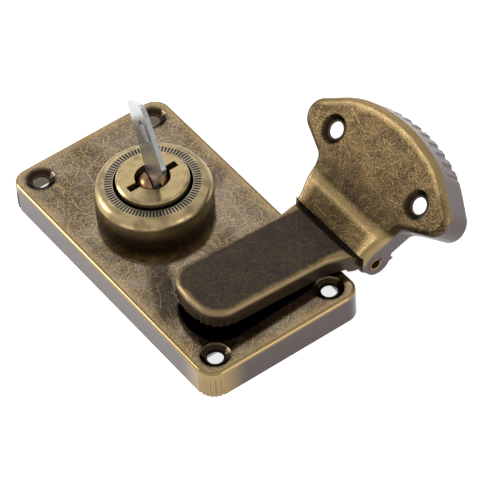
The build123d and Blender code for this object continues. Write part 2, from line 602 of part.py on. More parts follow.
def staple():
    """Square loop with two feet welded under the tongue."""
    t = STAPLE_THICKNESS
    slope = tan(radians(TONGUE_TILT))
    reach = (PIN_Y - CYLINDER_Y) / cos(radians(TONGUE_TILT))
    bottom = (STAPLE_BOTTOM_Z - PIN_Z) / cos(radians(TONGUE_TILT)) - reach * slope
    top = TONGUE_TOP - TONGUE_SHEET
    outer = STAPLE_EYE_HALF + t
    foot = outer + STAPLE_FOOT
    sole = top - STAPLE_FOOT_THICKNESS
    points = [(-foot, top), (foot, top), (foot, sole), (outer, sole), (outer, bottom), (-outer, bottom),
              (-outer, sole), (-foot, sole)]
    loop = side_prism(points, t / 2, {(outer, bottom): STAPLE_CORNER_R, (-outer, bottom): STAPLE_CORNER_R})
    eye = [(-STAPLE_EYE_HALF, top - 1), (STAPLE_EYE_HALF, top - 1), (STAPLE_EYE_HALF, bottom + t),
           (-STAPLE_EYE_HALF, bottom + t)]
    loop -= side_prism(eye, t, {eye[2]: 0.3, eye[3]: 0.3})
    loop -= slab(3 * t, 2 * STAPLE_EYE_HALF, top - 1.5, top + 1)
    return TONGUE_FRAME * Pos(0, -reach, 0) * loop


def hinge_pin():
    length = 2 * (FAN_EAR_HALF - PIN_SHORT_OF_EARS)
    tube = Cylinder(PIN_R, length) - Cylinder(PIN_R - PIN_WALL, length + 1)
    tube -= Pos(PIN_R, 0, 0) * Box(2 * PIN_R, PIN_SEAM, length + 1)
    return TONGUE_FRAME * Rot(0, 90, 0) * Rot(0, 0, PIN_SEAM_TURN) * tube


# Fan-shaped hinge plate
def fan_plan(inset, front):
    """Plan outline of the fan plate, cut off at y = front."""
    neck = FAN_NECK_HALF - inset
    ear = FAN_EAR_HALF - inset
    wing_x, wing_y = FAN_WING_AT
    drop = inset * sqrt(1 + FAN_WING_SLOPE ** 2)
    far = 40.0

    def wing(x):
        return wing_y + drop + FAN_WING_SLOPE * (x - wing_x)

    right = [(ear, front), (ear, FAN_EAR_END), (neck, wing(neck)), (far, wing(far)), (far, 2 * far)]
    face = make_face(Polyline(*right, *[(-x, y) for x, y in right[::-1]], close=True))
    face = face & (Pos(0, FAN_APEX - FAN_ARC_R) * Circle(FAN_ARC_R - inset))
    shoulder_x = FAN_SHOULDER_X
    shoulder_y = FAN_APEX - FAN_ARC_R + sqrt(FAN_ARC_R ** 2 - shoulder_x ** 2) - FAN_SHOULDER_DROP
    shoulder_y -= inset * sqrt(1 + FAN_SHOULDER_SLOPE ** 2)
    for side in (-1, 1):
        outer = [(side * x, shoulder_y - FAN_SHOULDER_SLOPE * (x - shoulder_x)) for x in (0, far)]
        face = face - make_face(Polyline(*outer, (side * far, far), (0, far), close=True))
    tips = face.vertices().sort_by(Axis.X)
    face = fillet([tips[0], tips[-1]], FAN_CORNER_R - inset)
    face = fillet([v for v in face.vertices() if v.Y > shoulder_y + 2], FAN_ARC_R / 2)
    for (x, y), radius in ((right[1], FAN_EAR_ROOT_R), (right[2], FAN_NECK_R + inset)):
        for side in (-1, 1):
            face = fillet(face.vertices().sort_by_distance((side * x, y, 0))[0], radius)
    return face


def fan_profile(inset, front, floor):
    """Side outline of the fan plate: hood over the pin, step down, and flat fan."""
    far = FAN_APEX + 5
    points = [(front, HOOD_TOP - inset), (HOOD_RIDGE_AT, HOOD_TOP - inset), (HOOD_FOOT_AT, FAN_TOP - inset),
              (far, FAN_TOP - inset), (far, floor), (front, floor)]
    return side_prism(points, 40, {points[1]: HOOD_BEND_R, points[2]: HOOD_BEND_R})


def skirt_ripples():
    """Shallow flutes up the curved skirt, as drawing leaves them."""
    flute = round_bar(RIPPLE_R, FAN_SKIRT - 1, FAN_SKIRT + RIPPLE_HEIGHT)
    reach = FAN_ARC_R + RIPPLE_R - RIPPLE_DEPTH
    step = 2 * RIPPLE_HALF_ANGLE / (RIPPLE_COUNT - 1)
    centre = Pos(0, FAN_APEX - FAN_ARC_R, 0)
    return [centre * Rot(0, 0, 90 - RIPPLE_HALF_ANGLE + k * step) * Pos(reach, 0, 0) * flute
            for k in range(RIPPLE_COUNT)]


def hinge_plate():
    body = extrude(Pos(0, 0, -10) * fan_plan(0, -4), 20) & fan_profile(0, 0.05, FAN_SKIRT)
    rim = [edge for edge in body.edges()
           if edge.center().Z > FAN_TOP - 0.3 and abs(edge.tangent_at(0.5).Z) < 0.8
           and (abs(edge.center().X) > 5 or edge.center().Y > FAN_APEX - 3)]
    body = fillet(rim, FAN_EDGE_R)
    ear_y, ear_z = EAR_AT
    body += Pos(0, ear_y, ear_z) * Rot(0, 90, 0) * Cylinder(EAR_R, 2 * FAN_EAR_HALF)
    body += side_prism([(0.06, HOOD_TOP - FAN_EDGE_R / 4), *EAR_FRONT, EAR_AT, (0.06, ear_z)], FAN_EAR_HALF)
    body -= Pos(0, -FAN_EDGE_R * 4 + 0.05, 0) * Box(2 * (FAN_EAR_HALF - FAN_SHEET), FAN_EDGE_R * 8, 20)
    arch_y, arch_half = EAR_ARCH
    arch = RectangleRounded(2 * arch_half, 2 * (FAN_SKIRT_AT_NECK - FAN_SKIRT + 1), EAR_ARCH_R)
    body -= Pos(0, arch_y, FAN_SKIRT - 1) * extrude(Plane.YZ * arch, 40, both=True)
    hollow = extrude(Pos(0, 0, -10) * fan_plan(FAN_SHEET, -8), 20) & fan_profile(FAN_SHEET, -8, -9)
    body -= hollow
    seats = [Pos(side * FAN_SCREW_HALF, FAN_SCREW_AT, FAN_TOP) for side in (-1, 1)]
    body += [seat * seat_metal(FAN_SHEET, HINGE_SEAT_DEPTH) for seat in seats]
    body -= [seat * seat_cut(FAN_SHEET, HINGE_SEAT_DEPTH, HINGE_HOLE_R) for seat in seats]
    body -= Rot(0, 90, 0) * Cylinder(PIN_R + RUN_FIT, 4 * FAN_EAR_HALF)
    return FAN_FRAME * (body - skirt_ripples())


NODES = {
    "lock_plate": lock_plate,
    "bezel": bezel,
    "barrel": barrel,
    "keyhole_disc": keyhole_disc,
    "barrel_ring": barrel_ring,
    "barrel_rivets": barrel_rivets,
    "back_plate": back_plate,
    "plate_studs": plate_studs,
    "front_bolt_guide": lambda: guide(FRONT_GUIDE_X),
    "rear_bolt_guide": lambda: guide(REAR_GUIDE_X),
    "guide_rivets": guide_rivets,
    "spring_post": spring_post,
    "detent_spring": detent_spring,
    "bolt": bolt,
    "cam": cam,
    "cam_peg": cam_peg,
    "plug_half_front": lambda: plug_half(-1),
    "plug_half_back": lambda: plug_half(1),
    "key": key,
    "tongue": tongue,
    "staple": staple,
    "hinge_pin": hinge_pin,
    "hinge_plate": hinge_plate,
}

os.makedirs("parts", exist_ok=True)
for name, make in NODES.items():
    made = make()
    solids = list(made) if isinstance(made, list) else made.solids()
    piece = solids[0] if len(solids) == 1 else Compound(children=list(solids))
    export_step(piece, f"parts/{name}.step")
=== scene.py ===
"""Looks for the chest lock: antique bronze finishes, a pale floor, soft light and the camera."""

import json
from math import radians

import bmesh
import bpy
from mathutils import Matrix, Vector


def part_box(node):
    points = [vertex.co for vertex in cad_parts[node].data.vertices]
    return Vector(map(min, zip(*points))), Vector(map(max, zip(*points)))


bl_info = {
    "name": "Chest Lock Looks",
    "version": (1, 0, 0),
    "blender": (4, 5, 0),
    "location": "3D View > Sidebar > Chest Lock",
    "description": "Finishes for a chest lock with a key, a hasp tongue and a hinge plate",
    "category": "Object",
}

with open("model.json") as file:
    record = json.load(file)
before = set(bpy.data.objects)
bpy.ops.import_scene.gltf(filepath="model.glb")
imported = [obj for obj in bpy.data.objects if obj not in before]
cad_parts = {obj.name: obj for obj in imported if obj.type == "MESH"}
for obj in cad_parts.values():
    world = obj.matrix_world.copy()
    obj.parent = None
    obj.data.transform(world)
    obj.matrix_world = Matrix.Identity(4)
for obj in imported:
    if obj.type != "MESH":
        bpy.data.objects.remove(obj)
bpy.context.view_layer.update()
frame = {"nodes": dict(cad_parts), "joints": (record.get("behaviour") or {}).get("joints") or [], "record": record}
NODES = frame["nodes"]
JOINTS = {joint["name"]: joint for joint in frame["joints"]}
MM = 0.001


def millimetres(point):
    """A place in metres as millimetres."""
    return tuple(value / MM for value in point)


def joint_place(name):
    """A joint's place in millimetres."""
    return millimetres(JOINTS[name]["pos_m"])


MOUNTS = {mount["name"]: mount for mount in frame["record"]["mounts"]}
KEY_AXIS = joint_place("key_turn")
PIN = joint_place("hinge_fold")
PLATE_HIGH = millimetres(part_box("lock_plate")[1])
BEZEL_LOW, BEZEL_HIGH = (millimetres(corner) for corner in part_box("bezel"))

# Sizes and places in millimetres, and tilts, of the forms that the finishes follow.
# A band is four distances from the pin: where it starts, is full, starts to fade and ends.
PLATE_CORNER_R = 3.4
PLATE_SCREW_X = MOUNTS["plate_screws"]["dims"]["spacing_x_mm"] / 2
PLATE_SCREW_Y = MOUNTS["plate_screws"]["dims"]["spacing_y_mm"] / 2
REEDS_R = 9.3
GROOVE_R = 7.6
TONGUE_TILT = radians(-3.4)
TONGUE_HALF_WIDTH = 7.45
TONGUE_TIP = 35.2
TONGUE_CORNER_R = 5.0
TONGUE_SIDE_TOP = 4.0
FAN_TILT = radians(43)
FAN_MIDDLE = MOUNTS["hinge_plate_screws"]["pos_m"][0] / MM
FAN_ARC_R = 34.0
FAN_APEX = 24.25
FAN_SCREW_X = MOUNTS["hinge_plate_screws"]["dims"]["pcd_mm"] / 2
FAN_SCREW_Y = 14.4
FAN_SIDE_TOP = 2.9
# The first band carries a painted highlight along the hood's crest, the second painted shade in the hollow before
# it.
HOOD_RIDGE = (3.6, 5.1, 5.4, 7.0)
# Places of the painted shade in the hollow before the hood.
FAN_VALLEY = (6.2, 7.6, 8.5, 12.5)

FULL_TURN = 6.283


def shade(red, green, blue):
    """A screen colour from 0 to 255 as the linear colour that shaders take."""
    def linear(value):
        value /= 255
        return value / 12.92 if value <= 0.04045 else ((value + 0.055) / 1.055) ** 2.4
    return (linear(red), linear(green), linear(blue))


def colour(name, description, default):
    """A setting for a colour, with a screen colour as its default."""
    return bpy.props.FloatVectorProperty(name=name, description=description, default=shade(*default),
                                         subtype="COLOR", size=3, min=0, max=1)


def length(name, description, default):
    """A setting for a length in metres."""
    return bpy.props.FloatProperty(name=name, description=description, default=default,
                                   subtype="DISTANCE", unit="LENGTH", min=0)


def amount(name, description, default):
    """A setting for a share from 0 to 1."""
    return bpy.props.FloatProperty(name=name, description=description, default=default,
                                   subtype="FACTOR", min=0, max=1)


class PatinaSettings(bpy.types.PropertyGroup):
    """Colours of the antique bronze on the drawn pieces."""
    # Umber is also painted shade in the hinge plate's hollow before the hood.
    umber: colour("Umber", "Darkest patina, left in the hollows", (40, 31, 22))
    bronze: colour("Bronze", "Patina over most of a flat face", (72, 60, 46))
    pewter: colour("Pewter", "Paler, greyer patina of the lock plate", (110, 100, 88))
    olive: colour("Olive", "Patina of the hinge plate", (69, 56, 35))
    # Tongue brown is also painted shade on the tongue's sides.
    tongue: colour("Tongue brown", "Dark patina of the hasp tongue", (40, 29, 22))
    # Rubbed brass is edge wear, and is also used for painted highlights on the hinge plate and at one corner of
    # the lock plate.
    rubbed: colour("Rubbed brass", "Brass showing along the edges", (150, 127, 88))
    hair: colour("Hairline", "Brass in the fine scratches", (182, 155, 106))
    bare: colour("Bare underside", "Bare sheet inside the drawn plate", (226, 220, 210))
    skirt: colour("Skirt", "Smooth mauve grey of the skirts", (88, 79, 78))
    rub_width: length("Rub width", "How far the rubbed brass reaches in from an edge", 0.0013)
    hairline: length("Hairline width", "Width of a fine scratch", 0.00005)
    scratched: amount("Scratched", "How strongly the fine scratches show", 0.58)


class CylinderSettings(bpy.types.PropertyGroup):
    """Colours of the key cylinder and the key."""
    brass: colour("Brass", "Polished antique brass", (158, 139, 101))
    # A brighter copy of the brass, painted over the bezel as a highlight.
    painted_highlight_brass: colour("Shoulder", "Brighter brass where the bezel is rubbed", (168, 148, 108))
    # Brown is tarnish, and on the bezel's wall it is also painted shade towards the wall's foot.
    brown: colour("Brown", "Tarnish on the bezel's wall", (40, 31, 19))
    reeds: colour("Reeds", "Grey of the reeded ring", (124, 115, 101))
    copper: colour("Copper", "Coppery brass of the plug and the pin", (140, 108, 76))
    nickel: colour("Nickel", "Plating of the key", (158, 158, 160))
    groove: colour("Groove", "Dark metal round the disc", (24, 20, 16))


class WorksSettings(bpy.types.PropertyGroup):
    """Colours of the hidden works."""
    steel: colour("Steel", "Plain steel", (172, 170, 166))
    zinc: colour("Zinc", "Zinc plating", (190, 190, 186))
    spring: colour("Spring steel", "Blued spring steel", (104, 110, 124))
    brass: colour("Plain brass", "Machined brass of the cam and its peg", (190, 160, 96))


class StageSettings(bpy.types.PropertyGroup):
    """The floor, the lights and the camera."""
    floor: colour("Floor", "Floor colour", (243, 243, 242))
    floor_size: length("Floor size", "Side of the square floor", 6.0)
    floor_glow: amount("Floor glow", "How much the floor shines by itself where it is seen", 0.78)
    sky: bpy.props.FloatProperty(name="Sky", description="Strength of the even light all round",
                                 default=0.7, min=0)
    lamp_level: bpy.props.FloatProperty(name="Lamp level", description="Factor on every lamp's power",
                                        default=1.0, min=0)
    focal_length: bpy.props.FloatProperty(name="Focal length", description="The camera's focal length",
                                          subtype="DISTANCE_CAMERA", unit="CAMERA", min=1, default=274.275)


SETTINGS = {
    "lock_patina": PatinaSettings,
    "lock_cylinder": CylinderSettings,
    "lock_works": WorksSettings,
    "lock_stage": StageSettings,
}


class Finish:
    """One material, built up by steps. Its lengths are in millimetres from the place it is given."""

    def __init__(self, name, origin=(0, 0, 0), turn=(0, 0, 0)):
        self.material = bpy.data.materials.new(name)
        self.material.use_nodes = True
        self.tree = self.material.node_tree
        self.tree.nodes.clear()
        self.shader = self.add("ShaderNodeBsdfPrincipled")
        output = self.add("ShaderNodeOutputMaterial")
        self.tree.links.new(self.shader.outputs["BSDF"], output.inputs["Surface"])
        mapping = self.add("ShaderNodeMapping", vector_type="TEXTURE")
        mapping.inputs["Location"].default_value = [value * MM for value in origin]
        mapping.inputs["Rotation"].default_value = turn
        mapping.inputs["Scale"].default_value = (MM, MM, MM)
        self.tree.links.new(self.add("ShaderNodeTexCoord").outputs["Object"], mapping.inputs["Vector"])
        self.place = mapping.outputs["Vector"]
        self.x, self.y, self.z = self.split(self.place)

    def add(self, kind, **settings):
        node = self.tree.nodes.new(kind)
        for name, value in settings.items():
            setattr(node, name, value)
        return node

    def feed(self, socket, value):
        if isinstance(value, bpy.types.NodeSocket):
            self.tree.links.new(value, socket)
        elif hasattr(socket.default_value, "__len__") and len(socket.default_value) == 4:
            socket.default_value = (*value[:3], 1)
        else:
            socket.default_value = value

    def math(self, operation, *values):
        node = self.add("ShaderNodeMath", operation=operation)
        for socket, value in zip(node.inputs, values):
            self.feed(socket, value)
        return node.outputs[0]

    def vector(self, operation, *values):
        node = self.add("ShaderNodeVectorMath", operation=operation)
        for socket, value in zip(node.inputs, values):
            self.feed(socket, value)
        return node.outputs["Value" if operation == "LENGTH" else "Vector"]

    def split(self, vector):
        node = self.add("ShaderNodeSeparateXYZ")
        self.feed(node.inputs[0], vector)
        return node.outputs

    def join(self, x, y):
        node = self.add("ShaderNodeCombineXYZ")
        for socket, value in zip(node.inputs, (x, y)):
            self.feed(socket, value)
        return node.outputs[0]

    def rise(self, value, low, high):
        """0 below low, 1 above high and smooth between them; low may be the greater."""
        node = self.add("ShaderNodeMapRange", interpolation_type="SMOOTHSTEP")
        self.feed(node.inputs["Value"], value)
        self.feed(node.inputs["From Min"], low)
        self.feed(node.inputs["From Max"], high)
        return node.outputs["Result"]

    def band(self, value, start, full, fade, end):
        """1 between full and fade, and 0 before start and after end."""
        return self.times(self.rise(value, start, full), self.rise(value, end, fade))

    def noise(self, size, detail, roughness=0.5, stretch=None):
        """Soft noise from 0 to 1 whose spots are about size across."""
        place = self.place
        if stretch:
            place = self.vector("MULTIPLY", place, stretch)
        node = self.add("ShaderNodeTexNoise")
        self.feed(node.inputs["Vector"], place)
        node.inputs["Scale"].default_value = 1 / size
        node.inputs["Detail"].default_value = detail
        node.inputs["Roughness"].default_value = roughness
        return node.outputs["Fac"]

    def mix(self, share, first, second):
        node = self.add("ShaderNodeMix", data_type="RGBA", clamp_factor=True)
        self.feed(node.inputs[0], share)
        self.feed(node.inputs[6], first)
        self.feed(node.inputs[7], second)
        return node.outputs[2]

    def times(self, *values):
        product = values[0]
        for value in values[1:]:
            product = self.math("MULTIPLY", product, value)
        return product

    def most(self, *values):
        result = values[0]
        for value in values[1:]:
            result = self.math("MAXIMUM", result, value)
        return result

    def from_point(self, x, y):
        """Distance in plan from a point."""
        off_x = self.math("SUBTRACT", self.x, x)
        off_y = self.math("SUBTRACT", self.y, y)
        return self.vector("LENGTH", self.join(off_x, off_y))

    def from_holes(self, x, y, along):
        """Distance in plan from holes at x and -x, where along is the place in Y to measure from y."""
        off_x = self.math("SUBTRACT", self.math("ABSOLUTE", self.x), x)
        off_y = self.math("SUBTRACT", along, y)
        return self.vector("LENGTH", self.join(off_x, off_y))

    def hairline(self, cell, width, reach, bend, shift):
        """Thin curved scratches, about one in each cell, each at its own angle."""
        place = self.vector("ADD", self.join(self.x, self.y), (shift, 0.7 * shift, 0))
        cells = self.add("ShaderNodeTexVoronoi", voronoi_dimensions="2D")
        self.feed(cells.inputs["Vector"], place)
        cells.inputs["Scale"].default_value = 1 / cell
        chance, curve, extent = self.split(cells.outputs["Color"])
        turned = self.add("ShaderNodeVectorRotate", rotation_type="Z_AXIS")
        self.feed(turned.inputs["Vector"], self.vector("SUBTRACT", place, cells.outputs["Position"]))
        self.feed(turned.inputs["Angle"], self.times(chance, FULL_TURN))
        along, across, _ = self.split(turned.outputs[0])
        bow = self.times(self.math("SUBTRACT", curve, 0.5), bend, along, along)
        off_line = self.math("ABSOLUTE", self.math("ADD", across, bow))
        line = self.rise(off_line, width, 0.3 * width)
        half_length = self.math("MULTIPLY_ADD", extent, reach, 0.3 * reach)
        past_end = self.math("DIVIDE", self.math("ABSOLUTE", along), half_length)
        return self.times(line, self.rise(past_end, 1.0, 0.7))

    def curls(self, size, width):
        """Wandering curly scratches along the level lines of a noise."""
        level = self.noise(size, 1.0)
        return self.rise(self.math("ABSOLUTE", self.math("SUBTRACT", level, 0.5)), width, 0.3 * width)

    def scratches(self, width):
        """The dense fine scratches of the rubbed finish, from 0 to 1."""
        fine = self.most(self.hairline(0.7, width, 0.8, 0.8, 3.1), self.hairline(1.1, width, 1.3, 0.5, 11.7))
        patches = self.rise(self.noise(4.0, 3.0), 0.3, 0.55)
        coarse = self.hairline(2.2, 1.1 * width, 2.2, 0.25, 23.9)
        long = self.hairline(5.0, 1.2 * width, 4.5, 0.05, 41.3)
        curls = self.times(self.curls(1.4, 0.009), 0.4)
        return self.most(self.times(fine, patches), coarse, long, curls)

    def surface(self, base, roughness, metallic, bump=None, depth=0.0, **sockets):
        """Sets the shader's own sockets; bump is a height from 0 to 1 and depth is in millimetres."""
        self.feed(self.shader.inputs["Base Color"], base)
        self.feed(self.shader.inputs["Roughness"], roughness)
        self.shader.inputs["Metallic"].default_value = metallic
        for name, value in sockets.items():
            self.shader.inputs[name.replace("_", " ")].default_value = value
        if bump is not None:
            node = self.add("ShaderNodeBump")
            node.inputs["Distance"].default_value = depth * MM
            self.feed(node.inputs["Height"], bump)
            self.tree.links.new(node.outputs["Normal"], self.shader.inputs["Normal"])
        return self.material

    def rounded_box_edge(self, half_x, half_y, radius):
        """Distance in plan from a rounded rectangle's edge, negative inside it."""
        out_x = self.math("SUBTRACT", self.math("ABSOLUTE", self.x), half_x - radius)
        out_y = self.math("SUBTRACT", self.math("ABSOLUTE", self.y), half_y - radius)
        corner = self.vector("LENGTH", self.join(self.most(out_x, 0.0), self.most(out_y, 0.0)))
        inside = self.math("MINIMUM", self.most(out_x, out_y), 0.0)
        return self.math("SUBTRACT", self.math("ADD", corner, inside), radius)


def put_on(material, *names):
    """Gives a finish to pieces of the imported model."""
    for name in names:
        slots = NODES[name].data.materials
        slots.clear()
        slots.append(material)


def plate_finish(patina):
    """Scratched pewter top with rubbed edges, smooth skirts and dark screw seats."""
    finish = Finish("scratched pewter bronze")
    half_x, half_y, top = PLATE_HIGH
    rub = patina.rub_width / MM
    edge = finish.rounded_box_edge(half_x, half_y, PLATE_CORNER_R)
    wander = finish.times(finish.math("SUBTRACT", finish.noise(3.0, 4.0), 0.5), 1.6)
    rubbed = finish.rise(finish.math("ADD", edge, wander), -2.0 * rub, -0.3 * rub)
    clouds = finish.rise(finish.noise(7.0, 5.0, 0.6), 0.3, 0.68)
    stipple = finish.rise(finish.noise(0.22, 2.0, 0.7), 0.35, 0.7)
    scratches = finish.scratches(patina.hairline / MM)
    ground = finish.mix(clouds, patina.bronze, patina.pewter)
    ground = finish.mix(finish.times(stipple, 0.6), ground, patina.umber)
    ground = finish.mix(finish.times(scratches, patina.scratched), ground, patina.hair)
    worn = finish.mix(finish.times(stipple, 0.25), patina.rubbed, patina.bronze)
    ground = finish.mix(finish.times(rubbed, 0.5), ground, worn)
    seats = finish.from_holes(PLATE_SCREW_X, PLATE_SCREW_Y, finish.math("ABSOLUTE", finish.y))
    ground = finish.mix(finish.times(finish.rise(seats, 3.6, 2.9), 0.45), ground, patina.umber)
    ground = finish.mix(finish.rise(finish.z, top - 0.05, top - 0.35), ground, patina.umber)
    inside = finish.times(finish.rise(finish.z, top - 1.2, top - 1.6), finish.rise(edge, -0.5, -0.9))
    ground = finish.mix(inside, ground, patina.bare)
    side = finish.times(finish.rise(finish.z, top - 0.35, top - 0.9), finish.rise(edge, -1.3, -0.5))
    brow = finish.times(finish.rise(finish.z, top - 0.02, top - 0.1), finish.rise(edge, -1.3, -0.6))
    ground = finish.mix(brow, ground, patina.rubbed)
    # Painted highlight: the skirt lightens to rubbed brass at the +X, -Y corner.
    corner_highlight = finish.rise(finish.from_point(half_x - 1, 1 - half_y), 8.0, 2.5)
    skirt = finish.mix(finish.times(stipple, 0.3), patina.skirt, patina.bronze)
    skirt = finish.mix(finish.times(corner_highlight, 0.8), skirt, patina.rubbed)
    ground = finish.mix(side, ground, skirt)
    roughness = finish.math("MULTIPLY_ADD", stipple, 0.08, 0.06)
    return finish.surface(ground, roughness, 1.0, finish.math("SUBTRACT", stipple, scratches), 0.0015)


def bezel_finish(settings):
    """Polished brass made brighter all over as a painted highlight, painted shade darkening the wall towards its
    foot, and grey reeds with dark grooves.
    """
    finish = Finish("antique brass bezel", (KEY_AXIS[0], KEY_AXIS[1], 0))
    top, foot = BEZEL_HIGH[2], BEZEL_LOW[2]
    radius = finish.from_point(0, 0)
    stipple = finish.noise(0.3, 3.0, 0.7)
    cloud = finish.rise(finish.noise(2.5, 4.0), 0.35, 0.7)
    # The bezel's brass is the brighter painted-highlight copy, clouded at random with tarnish.
    brass = finish.mix(finish.times(cloud, 0.45), settings.painted_highlight_brass, settings.brown)
    # Painted shade: the wall darkens towards its foot at the plate.
    wall = finish.rise(finish.math("ADD", finish.z, finish.times(stipple, 0.8)), top - 1.2, foot + 1.2)
    ground = finish.mix(finish.times(wall, 0.92), brass, settings.brown)
    reeded = finish.times(finish.rise(radius, REEDS_R + 0.15, REEDS_R - 0.25),
                          finish.rise(finish.z, top - 0.6, top - 0.3))
    ground = finish.mix(finish.times(reeded, 0.85), ground, settings.reeds)
    between_reeds = finish.times(finish.rise(radius, REEDS_R, REEDS_R - 0.2),
                                 finish.rise(finish.z, top - 0.06, top - 0.2))
    ground = finish.mix(between_reeds, ground, settings.groove)
    ground = finish.mix(finish.rise(radius, GROOVE_R + 0.02, GROOVE_R - 0.04), ground, settings.groove)
    roughness = finish.math("MULTIPLY_ADD", cloud, 0.18, 0.24)
    return finish.surface(ground, roughness, 0.9, stipple, 0.006)


def brushed_finish(name, tint, shadow, roughness, size=0.5, origin=(0, 0, 0)):
    """Fine even brushing with a slight tarnish."""
    finish = Finish(name, origin)
    grain = finish.noise(size, 3.0, 0.65, stretch=(1.0, 0.25, 1.0))
    tarnish = finish.rise(finish.noise(6 * size, 4.0), 0.45, 0.8)
    ground = finish.mix(finish.times(tarnish, 0.5), tint, shadow)
    ground = finish.mix(finish.times(finish.rise(grain, 0.45, 0.75), 0.25), ground, shadow)
    gloss = finish.math("MULTIPLY_ADD", grain, 0.2, roughness - 0.1)
    return finish.surface(ground, gloss, 0.9, grain, 0.004)


def tongue_finish(patina):
    """Dark speckled brown with golden-brown rubbed edges, and painted shade darkening the sides."""
    finish = Finish("dark tongue bronze", PIN, (TONGUE_TILT, 0, 0))
    stipple = finish.rise(finish.noise(0.28, 2.0, 0.7), 0.5, 0.8)
    cloud = finish.rise(finish.noise(2.6, 4.0, 0.6), 0.4, 0.75)
    wander = finish.times(finish.math("SUBTRACT", finish.noise(1.6, 4.0), 0.5), 0.9)
    past_side = finish.math("SUBTRACT", finish.math("ABSOLUTE", finish.x), TONGUE_HALF_WIDTH)
    past_tip = finish.math("SUBTRACT", -TONGUE_TIP, finish.y)
    corner_x = finish.most(finish.math("ADD", past_side, TONGUE_CORNER_R), 0.0)
    corner_y = finish.most(finish.math("ADD", past_tip, TONGUE_CORNER_R), 0.0)
    corner = finish.vector("LENGTH", finish.join(corner_x, corner_y))
    edge = finish.math("ADD", finish.math("SUBTRACT", corner, TONGUE_CORNER_R), wander)
    rubbed = finish.rise(edge, -1.3, -0.3)
    scratches = finish.scratches(0.9 * patina.hairline / MM)
    ground = finish.mix(finish.times(cloud, 0.35), patina.tongue, patina.olive)
    ground = finish.mix(finish.times(stipple, 0.35), ground, patina.olive)
    ground = finish.mix(finish.times(scratches, 0.12), ground, patina.hair)
    ground = finish.mix(finish.times(rubbed, 0.7), ground, patina.rubbed)
    # Painted shade: below the top, the tongue's sides darken back to the tongue brown.
    low = finish.rise(finish.z, TONGUE_SIDE_TOP, TONGUE_SIDE_TOP - 0.8)
    ground = finish.mix(finish.times(low, 0.85), ground, patina.tongue)
    return finish.surface(ground, finish.math("MULTIPLY_ADD", cloud, 0.12, 0.36), 0.75, stipple, 0.008)


def fan_finish(patina):
    """Mottled olive bronze with brass along the arc edge, a painted highlight along the hood's crest and at its
    ends, painted shade in the hollow before it, and silvery skirts.
    """
    finish = Finish("mottled hinge bronze", (FAN_MIDDLE, PIN[1], PIN[2]), (FAN_TILT, 0, 0))
    stipple = finish.rise(finish.noise(0.26, 2.0, 0.7), 0.35, 0.75)
    cloud = finish.rise(finish.noise(4.5, 5.0, 0.62), 0.36, 0.66)
    scratches = finish.scratches(patina.hairline / MM)
    arc = finish.math("SUBTRACT", finish.from_point(0.0, FAN_APEX - FAN_ARC_R), FAN_ARC_R)
    wander = finish.times(finish.math("SUBTRACT", finish.noise(2.4, 4.0), 0.5), 1.2)
    rim = finish.rise(finish.math("ADD", arc, wander), -2.6, -0.6)
    ground = finish.mix(cloud, patina.olive, patina.umber)
    ground = finish.mix(finish.times(stipple, 0.5), ground, patina.umber)
    ground = finish.mix(finish.rise(finish.noise(1.1, 3.0), 0.52, 0.8), ground, patina.olive)
    ground = finish.mix(finish.times(scratches, 0.3), ground, patina.hair)
    # Painted shade: a patchy umber band in the hollow before the hood.
    valley_shade = finish.band(finish.y, *FAN_VALLEY)
    patches = finish.rise(finish.noise(3.2, 3.0), 0.3, 0.6)
    ground = finish.mix(finish.times(valley_shade, patches, 0.7), ground, patina.umber)
    # Painted highlight: a rubbed-brass band along the convex bend into the hood.
    ridge_highlight = finish.band(finish.y, *HOOD_RIDGE)
    ground = finish.mix(finish.times(ridge_highlight, 0.7), ground, patina.rubbed)
    ground = finish.mix(finish.times(rim, 0.75), ground, patina.rubbed)
    off_middle = finish.math("ABSOLUTE", finish.x)
    # Painted highlight: rubbed brass at both ends of the hood band.
    hood_end_highlight = finish.times(finish.rise(off_middle, 7.2, 9.6), finish.rise(finish.y, 7.5, 5.0))
    ground = finish.mix(finish.times(hood_end_highlight, 0.8), ground, patina.rubbed)
    seats = finish.from_holes(FAN_SCREW_X, FAN_SCREW_Y, finish.y)
    in_seat = finish.rise(seats, 3.0, 2.5)
    ground = finish.mix(finish.times(in_seat, finish.rise(finish.z, 3.5, 3.0)), ground, patina.umber)
    skirt = finish.mix(finish.times(stipple, 0.3), patina.skirt, patina.bronze)
    below_top = finish.rise(finish.z, FAN_SIDE_TOP, FAN_SIDE_TOP - 0.8)
    side = finish.times(below_top, finish.rise(seats, 3.2, 3.6))
    ground = finish.mix(side, ground, skirt)
    return finish.surface(ground, finish.math("MULTIPLY_ADD", stipple, 0.15, 0.26), 1.0,
                          finish.math("SUBTRACT", stipple, scratches), 0.012)


class FinishLockPlate(bpy.types.Operator):
    """Gives the lock plate its scratched pewter bronze"""
    bl_idname = "chest_lock.finish_lock_plate"
    bl_label = "Lock Plate"

    def execute(self, context):
        put_on(plate_finish(context.scene.lock_patina), "lock_plate")
        return {"FINISHED"}


class FinishCylinder(bpy.types.Operator):
    """Gives the bezel, the barrel and the keyhole disc their brass"""
    bl_idname = "chest_lock.finish_cylinder"
    bl_label = "Cylinder"

    def execute(self, context):
        settings = context.scene.lock_cylinder
        put_on(bezel_finish(settings), "bezel")
        barrel = brushed_finish("dark barrel brass", settings.groove, (0.0, 0.0, 0.0), 0.5, origin=KEY_AXIS)
        disc = brushed_finish("brushed disc brass", settings.brass, settings.brown, 0.3, 0.4, KEY_AXIS)
        put_on(barrel, "barrel")
        put_on(disc, "keyhole_disc")
        return {"FINISHED"}


